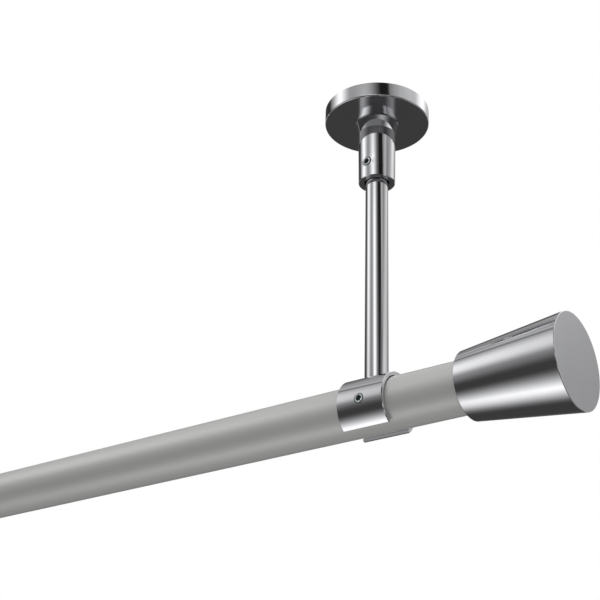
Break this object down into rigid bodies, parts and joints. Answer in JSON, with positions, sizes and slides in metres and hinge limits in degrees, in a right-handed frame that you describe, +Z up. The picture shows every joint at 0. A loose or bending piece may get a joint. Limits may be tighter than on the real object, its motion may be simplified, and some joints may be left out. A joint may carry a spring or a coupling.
{
  "type": "curtain rod",
  "caption": "Round curtain tube hung from the ceiling by slim stem brackets with open saddles and set screws, closed by cone finials.",
  "frame": {"origin": "on the ceiling plane, midway between the two ceiling screw holes", "axes": "+X along the rod, +Z up into the ceiling, -Y towards the room, which the set screws face"},
  "size_m": [1.0418, 0.0428, 0.1495],
  "materials": {
    "polished_chrome": "polished",
    "tube_lacquer": "satin lacquer",
    "screw_steel": "zinc plated",
    "insert_nylon": "moulded"
  },
  "bodies": {
    "ceiling_fittings": {"rosette_left": "polished_chrome", "rosette_right": "polished_chrome", "neck_left": "polished_chrome", "neck_right": "polished_chrome"},
    "neck_grub_left": {"neck_grub_left": "screw_steel"},
    "neck_grub_right": {"neck_grub_right": "screw_steel"},
    "hangers": {"stem_left": "polished_chrome", "stem_right": "polished_chrome", "stem_screw_left": "screw_steel", "stem_screw_right": "screw_steel", "saddle_left": "polished_chrome", "saddle_right": "polished_chrome"},
    "saddle_grub_left": {"saddle_grub_left": "screw_steel"},
    "saddle_grub_right": {"saddle_grub_right": "screw_steel"},
    "rod": {"tube": "tube_lacquer"},
    "finial_left": {"finial_left": "polished_chrome", "finial_insert_left": "insert_nylon", "finial_screw_left": "screw_steel"},
    "finial_right": {"finial_right": "polished_chrome", "finial_insert_right": "insert_nylon", "finial_screw_right": "screw_steel"}
  },
  "joints": [
    {"name": "height_adjust", "type": "slide", "parent": "ceiling_fittings", "child": "hangers", "axis": [0, 0, 1], "range_m": [-0.01, 0.0015]},
    {"name": "rod_slide", "type": "slide", "parent": "hangers", "child": "rod", "axis": [1, 0, 0], "range_m": [-0.0295, 0.0295]},
    {"name": "finial_left_pull", "type": "slide", "parent": "rod", "child": "finial_left", "axis": [-1, 0, 0], "range_m": [0, 0.03]},
    {"name": "finial_right_pull", "type": "slide", "parent": "rod", "child": "finial_right", "axis": [1, 0, 0], "range_m": [0, 0.03]},
    {"name": "neck_grub_left_travel", "type": "slide", "parent": "ceiling_fittings", "child": "neck_grub_left", "axis": [0, -1, 0], "range_m": [0, 0.0015]},
    {"name": "neck_grub_right_travel", "type": "slide", "parent": "ceiling_fittings", "child": "neck_grub_right", "axis": [0, -1, 0], "range_m": [0, 0.0015]},
    {"name": "saddle_grub_left_travel", "type": "slide", "parent": "hangers", "child": "saddle_grub_left", "axis": [0, -1, 0], "range_m": [0, 0.001]},
    {"name": "saddle_grub_right_travel", "type": "slide", "parent": "hangers", "child": "saddle_grub_right", "axis": [0, -1, 0], "range_m": [0, 0.001]}
  ]
}
